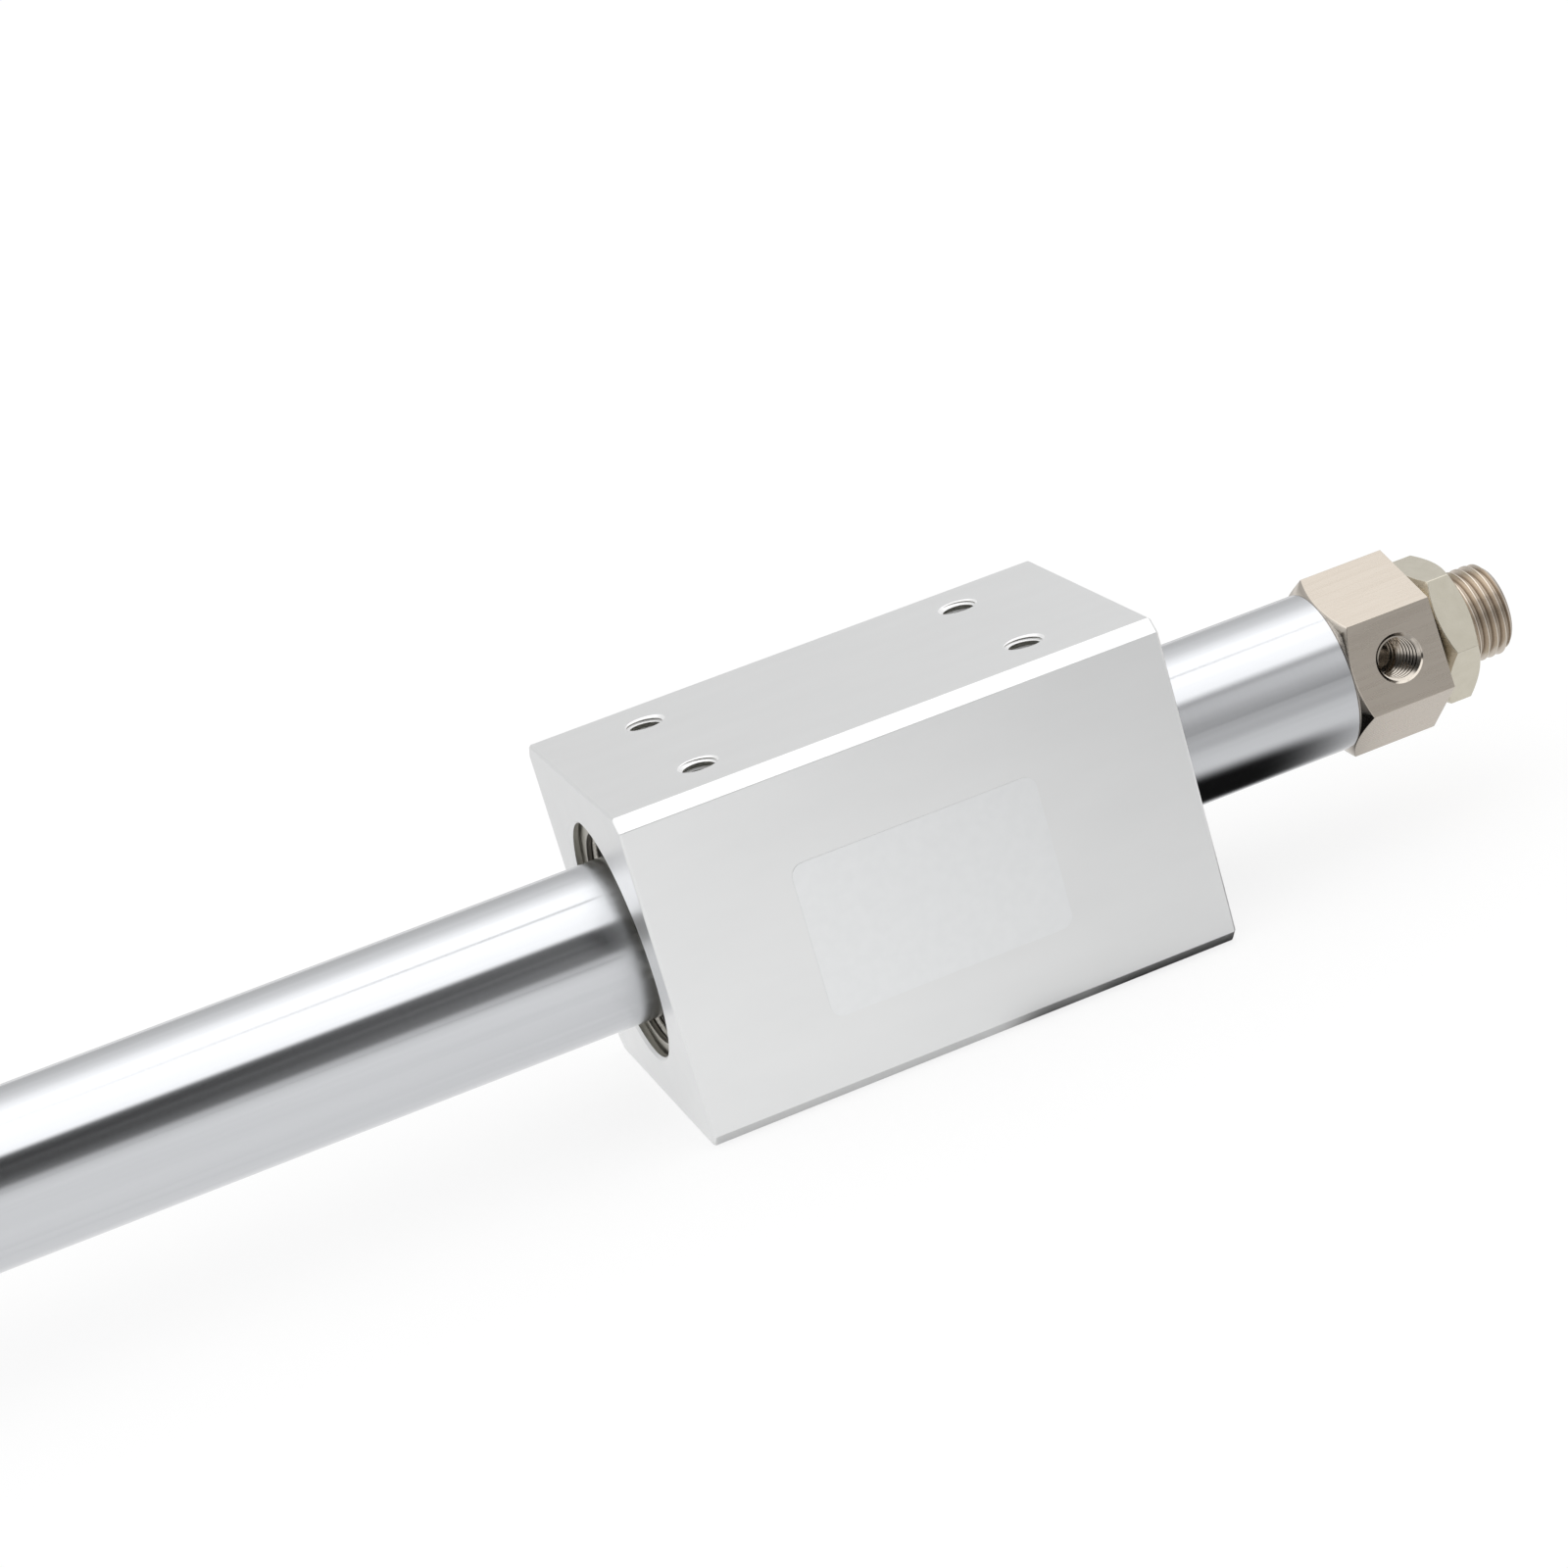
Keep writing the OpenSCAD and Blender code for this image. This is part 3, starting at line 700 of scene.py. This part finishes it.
def punched(node):
    """A copy of a CAD node's mesh with flat faces whole again and its edges rounded."""
    bm = bmesh.new()
    bm.from_mesh(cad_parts[node].data)
    bmesh.ops.remove_doubles(bm, verts=bm.verts, dist=merge_distance)
    bmesh.ops.dissolve_limit(bm, angle_limit=flat_angle, verts=bm.verts, edges=bm.edges)
    return sealed(soften(bm, ring_edge))


def ring_pair(node):
    """The CAD's ring as two thin rings, parted by a slit as deep as shows in the bore."""
    low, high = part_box(node)
    middle = (low.x + high.x) / 2
    start, end = middle - ring_slit / 2, middle + ring_slit / 2
    slit = turned([
        (block_bore_r / 2, start), (ring_slit_r, start), (ring_slit_r, end),
        (block_bore_r / 2, end),
    ])
    return shaped(punched(node), "DIFFERENCE", slit)


def plain_finish(name, colour, metallic, roughness, scale):
    """A plain machined or moulded surface with a faint even relief."""
    finish, nodes, links, shader = new_finish(name, colour, metallic, roughness)
    relief = grain(nodes, links, scale)
    spread(nodes, links, relief, roughness * 0.85, roughness * 1.15, shader.inputs["Roughness"])
    emboss(nodes, links, shader, relief, relief_height)
    return finish


spring_steel = plain_finish("spring_steel", (0.54, 0.52, 0.47), 1.0, 0.38, (900, 900, 900))
for _, name in both_ends:
    add_piece(f"snap_rings_{name}", ring_pair(f"retaining_ring_{name}"), "slider",
              [spring_steel], [f"retaining_ring_{name}"])


# ---- Pieces inside ----
# Behind the snap rings sit turned spacers, rubber scrapers, grease rings, guide rings and
# the stack of magnets and yokes. The piston carries a like stack inside the tube.
turned_marks = (3000, 200, 200)
inner_finishes = {
    "slider_spacer": plain_finish("turned_spacer", (0.46, 0.44, 0.41), 1.0, 0.32, turned_marks),
    "scraper": plain_finish("black_rubber", (0.018, 0.018, 0.018), 0.0, 0.62, (800, 800, 800)),
    "lube_retainer": plain_finish("greased_resin", (0.70, 0.66, 0.52), 0.0, 0.35, (500, 500, 500)),
    "wear_ring": plain_finish("guide_resin", (0.10, 0.06, 0.035), 0.0, 0.45, turned_marks),
    "yoke": plain_finish("zinc_yoke", (0.58, 0.55, 0.44), 1.0, 0.36, turned_marks),
    "magnet": plain_finish("plated_magnet", (0.50, 0.51, 0.53), 1.0, 0.24, (400, 400, 400)),
    "piston_shaft": plain_finish("ground_shaft", (0.62, 0.63, 0.65), 1.0, 0.18, turned_marks),
    "seal": plain_finish("nitrile_seal", (0.02, 0.02, 0.021), 0.0, 0.55, (800, 800, 800)),
    "gasket": plain_finish("nitrile_gasket", (0.02, 0.02, 0.021), 0.0, 0.5, (800, 800, 800)),
    "bumper": plain_finish("amber_urethane", (0.52, 0.22, 0.03), 0.0, 0.4, (300, 300, 300)),
    "piston": plain_finish("turned_brass", (0.68, 0.50, 0.22), 1.0, 0.28, turned_marks),
}
replaced = ("cylinder_tube", "slider_block", "head_cover", "mounting_nut", "retaining_ring")

# The first key found in a node's name gives its finish, so the bare piston comes last.
for node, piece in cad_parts.items():
    if node.startswith(replaced):
        continue
    finish = next(made for key, made in inner_finishes.items() if key in node)
    piece.data.materials.clear()
    piece.data.materials.append(finish)


# ---- Studio ----
# The cylinder lies on a pale table under an arch of strip lights. The arch is only there
# for metal to reflect: a white ceiling, a dark gap on the camera's side and a grey back.
table_half_size = 8.0
table_glow = 1.04
table_glow_share = 0.75
paper_white = 0.92

# How bright the table is in reflections, as ramps: from where to where they run, and their
# first and last value.
fall_to_right = (0.100, 0.195, 0.92, 0.66)
rise_to_back = (-0.320, -0.040, 0.90, 1.0)
fall_behind = (0.030, 0.085, 1.0, 0.84)
right_end_begins = (0.160, 0.172, 0.0, 1.0)
right_end_lift = (-0.060, -0.018, -0.10, 0.28)

# Patches of painted shade on the table, and the share of light they leave. Two lie beside and
# under the slider's right-hand end, and a strip runs along the block's lower edge where it nears
# the table. They show in reflections, and the first two also dim the table's light on the object.
# The pairs are where the left, right, front and back edge of a patch begins and ends.
shade_beside_block = ((0.127, 0.136), (0.171, 0.192), (-0.0215, -0.008), (0.001, 0.014))
shade_under_block = ((0.128, 0.150), (0.160, 0.166), (-0.0195, -0.0165), (0.001, 0.014))
contact_strip = ((0.1015, 0.103), (0.128, 0.140), (-0.0185, -0.0172), (0.001, 0.014))
shade_turn = math.radians(-6.8)
shade_shift = 0.0208
shade_light = 0.01
contact_light = 0.62

# Degrees round the tube's axis from the horizontal on the camera's side, and how bright
# the arch is there: first for its left part, then for its right part.
arch_left = [
    (0, 0.74), (5, 0.62), (10, 0.19), (20, 0.09), (33, 0.05), (40, 0.06), (44, 0.14),
    (49, 1.50), (90, 1.65), (108, 1.60), (121, 1.20), (134, 0.90), (151, 0.72),
    (168, 0.59), (176, 0.80), (180, 1.10),
]
arch_right = [
    (0, 0.36), (5, 0.46), (12, 0.66), (24, 0.88), (36, 0.90), (43, 0.66), (47, 0.85),
    (53, 1.40), (90, 1.65), (108, 1.60), (121, 1.20), (134, 0.92), (151, 0.74),
    (168, 0.61), (176, 0.80), (180, 1.10),
]
arch_r = 1.5
arch_half_length = 4.0
arch_blend = (0.44, 0.62)
arch_steps = 180

gap_drop = 0.03
gap_middle = Vector((0.42, -0.05, arch_r - gap_drop))
gap_half_size = (0.22, 0.032)
gap_glow = 0.05

room_glow = 1.0
room_glow_reflected = 0.30


def stage_sheet(name, bm, finish):
    """A piece of the studio, which isn't part of the object."""
    mesh = bpy.data.meshes.new(name)
    bm.to_mesh(mesh)
    bm.free()
    mesh.materials.append(finish)
    sheet = bpy.data.objects.new(name, mesh)
    bpy.context.scene.collection.objects.link(sheet)
    return sheet


def only_for_reflections(sheet):
    """Leave the sheet to glossy rays alone."""
    sheet.visible_camera = False
    sheet.visible_diffuse = False
    sheet.visible_shadow = False
    sheet.visible_transmission = False
    sheet.visible_volume_scatter = False
    return sheet


def glow(name):
    """An unlit material that isn't sampled as a lamp."""
    finish = bpy.data.materials.new(name)
    finish.use_nodes = True
    finish.cycles.emission_sampling = "NONE"
    nodes, links = finish.node_tree.nodes, finish.node_tree.links
    nodes.clear()
    output = nodes.new("ShaderNodeOutputMaterial")
    emission = nodes.new("ShaderNodeEmission")
    links.new(emission.outputs["Emission"], output.inputs["Surface"])
    return finish, nodes, links, emission, output


def ramped(nodes, links, source, start, end, first, last):
    """A value that runs smoothly from first to last while the source runs from start to end."""
    ramp = nodes.new("ShaderNodeMapRange")
    ramp.interpolation_type = "SMOOTHSTEP"
    ramp.inputs["From Min"].default_value = start
    ramp.inputs["From Max"].default_value = end
    ramp.inputs["To Min"].default_value = first
    ramp.inputs["To Max"].default_value = last
    links.new(source, ramp.inputs["Value"])
    return ramp.outputs["Result"]


def combined(nodes, links, operation, *sources):
    """The sources led through one maths operation, pair by pair."""
    result = sources[0]
    for source in sources[1:]:
        step = nodes.new("ShaderNodeMath")
        step.operation = operation
        links.new(result, step.inputs[0])
        if isinstance(source, float):
            step.inputs[1].default_value = source
        else:
            links.new(source, step.inputs[1])
        result = step.outputs[0]
    return result


def soft_patch(nodes, links, place, left, right, front, back):
    """One inside a soft-edged patch of the table and nought outside it."""
    return combined(
        nodes, links, "MULTIPLY",
        ramped(nodes, links, place.outputs["X"], *left, 0.0, 1.0),
        ramped(nodes, links, place.outputs["X"], *right, 1.0, 0.0),
        ramped(nodes, links, place.outputs["Y"], *front, 0.0, 1.0),
        ramped(nodes, links, place.outputs["Y"], *back, 1.0, 0.0),
    )


def table_reflected(nodes, links):
    """How bright the table is in reflections, and how much light the painted shade on it leaves.

    The table darkens towards the front right and the back. Painted shade lies on it below and
    beside the slider's right-hand end, and a strip of painted shade where the slider comes close
    to it.
    """
    coordinates = nodes.new("ShaderNodeTexCoord")
    place = nodes.new("ShaderNodeSeparateXYZ")
    links.new(coordinates.outputs["Object"], place.inputs[0])
    turned_coordinates = nodes.new("ShaderNodeMapping")
    turned_coordinates.inputs["Rotation"].default_value = (0, 0, shade_turn)
    turned_coordinates.inputs["Location"].default_value = (0, shade_shift, 0)
    turned_place = nodes.new("ShaderNodeSeparateXYZ")
    links.new(coordinates.outputs["Object"], turned_coordinates.inputs["Vector"])
    links.new(turned_coordinates.outputs["Vector"], turned_place.inputs[0])
    painted_shade = combined(nodes, links, "MAXIMUM",
                     soft_patch(nodes, links, turned_place, *shade_beside_block),
                     soft_patch(nodes, links, place, *shade_under_block))
    off_shade = ramped(nodes, links, painted_shade, 0.0, 1.0, 1.0, shade_light)
    contact = soft_patch(nodes, links, place, *contact_strip)
    off_contact = ramped(nodes, links, contact, 0.0, 1.0, 1.0, contact_light)
    to_right = ramped(nodes, links, place.outputs["X"], *fall_to_right)
    to_back = ramped(nodes, links, place.outputs["Y"], *rise_to_back)
    behind = ramped(nodes, links, place.outputs["Y"], *fall_behind)
    lift = combined(nodes, links, "MULTIPLY",
                    ramped(nodes, links, place.outputs["X"], *right_end_begins),
                    ramped(nodes, links, place.outputs["Y"], *right_end_lift))
    lift = combined(nodes, links, "ADD", lift, 1.0)
    seen = combined(nodes, links, "MULTIPLY", to_right, to_back, behind, off_shade,
                    off_contact, lift, table_glow)
    return seen, off_shade


def table():
    """A large pale sheet that glows a little and still keeps a soft shadow."""
    finish, nodes, links, emission, output = glow("table_sheet")
    path = nodes.new("ShaderNodeLightPath")
    to_camera, glossy = path.outputs["Is Camera Ray"], path.outputs["Is Glossy Ray"]
    seen, off_shade = table_reflected(nodes, links)
    shade = nodes.new("ShaderNodeMix")
    links.new(glossy, shade.inputs["Factor"])
    # Rays other than glossy ones see the table's glow dimmed by the painted shade under the
    # slider's right-hand end.
    links.new(combined(nodes, links, "MULTIPLY", off_shade, table_glow), shade.inputs["A"])
    links.new(seen, shade.inputs["B"])
    white = combined(nodes, links, "MULTIPLY", to_camera, table_glow)
    shown = combined(nodes, links, "MAXIMUM", shade.outputs["Result"], white)
    links.new(shown, emission.inputs["Strength"])
    paper = nodes.new("ShaderNodeBsdfDiffuse")
    links.new(combined(nodes, links, "MULTIPLY", shown, paper_white), paper.inputs["Color"])
    share = combined(nodes, links, "MAXIMUM", to_camera, glossy,
                     path.outputs["Is Transmission Ray"])
    share = combined(nodes, links, "MULTIPLY", share, table_glow_share)
    mix = nodes.new("ShaderNodeMixShader")
    links.new(share, mix.inputs[0])
    links.new(paper.outputs[0], mix.inputs[1])
    links.new(emission.outputs[0], mix.inputs[2])
    links.new(mix.outputs[0], output.inputs["Surface"])
    bm = bmesh.new()
    bmesh.ops.create_grid(bm, x_segments=1, y_segments=1, size=table_half_size,
                          matrix=Matrix.Translation((0, 0, cad_low.z)))
    return stage_sheet("table_sheet", bm, finish)


def arch():
    """A half-round tunnel over the table, as long strips of light and shade."""
    finish, nodes, links, emission, _ = glow("arch_strips")
    coordinates = nodes.new("ShaderNodeTexCoord")
    place = nodes.new("ShaderNodeSeparateXYZ")
    links.new(coordinates.outputs["Object"], place.inputs[0])
    front = combined(nodes, links, "MULTIPLY", place.outputs["Y"], -1.0)
    angle = combined(nodes, links, "ARCTAN2", place.outputs["Z"], front)
    turn = combined(nodes, links, "DIVIDE", angle, math.pi)
    mix = nodes.new("ShaderNodeMix")
    mix.data_type = "RGBA"
    colour_sockets, colour_result = mix.inputs[6:8], mix.outputs[2]
    for strips, socket in zip((arch_left, arch_right), colour_sockets):
        ramp = nodes.new("ShaderNodeValToRGB")
        stops = ramp.color_ramp.elements
        for number, (degrees, value) in enumerate(strips):
            stop = stops[number] if number < 2 else stops.new(degrees / 180)
            stop.position = degrees / 180
            stop.color = (value, value, value, 1.0)
        links.new(turn, ramp.inputs["Fac"])
        links.new(ramp.outputs["Color"], socket)
    to_right = ramped(nodes, links, place.outputs["X"], *arch_blend, 0.0, 1.0)
    links.new(to_right, mix.inputs["Factor"])
    links.new(colour_result, emission.inputs["Color"])
    bm = bmesh.new()
    ends = [bm.verts.new((x, -arch_r, 0)) for x in (-arch_half_length, arch_half_length)]
    edge = bm.edges.new(ends)
    bmesh.ops.spin(bm, geom=ends + [edge], cent=(0, 0, 0), axis=(1, 0, 0), dvec=(0, 0, 0),
                   angle=-math.pi, steps=arch_steps, use_merge=False, use_duplicate=False)
    return only_for_reflections(stage_sheet("light_arch", bm, finish))


def arch_gap():
    """The dark slit between two ceiling lights, over the table's right half."""
    finish, _, _, emission, _ = glow("arch_gap")
    emission.inputs["Strength"].default_value = gap_glow
    size = Matrix.Diagonal((*gap_half_size, 1.0, 1.0))
    bm = bmesh.new()
    bmesh.ops.create_grid(bm, x_segments=1, y_segments=1, size=1.0,
                          matrix=Matrix.Translation(gap_middle) @ size)
    return only_for_reflections(stage_sheet("arch_gap", bm, finish))


def room():
    """White for the camera and for soft light, and dim at the arch's ends in reflections."""
    world = bpy.data.worlds.new("room")
    world.use_nodes = True
    world.cycles.sampling_method = "NONE"
    nodes, links = world.node_tree.nodes, world.node_tree.links
    path = nodes.new("ShaderNodeLightPath")
    shade = nodes.new("ShaderNodeMix")
    shade.inputs["A"].default_value = room_glow
    shade.inputs["B"].default_value = room_glow_reflected
    links.new(path.outputs["Is Glossy Ray"], shade.inputs["Factor"])
    links.new(shade.outputs["Result"], nodes["Background"].inputs["Strength"])
    nodes["Background"].inputs["Color"].default_value = (1, 1, 1, 1)
    return world


table()
arch()
arch_gap()
bpy.context.scene.world = room()
bpy.context.scene.view_settings.view_transform = "Standard"
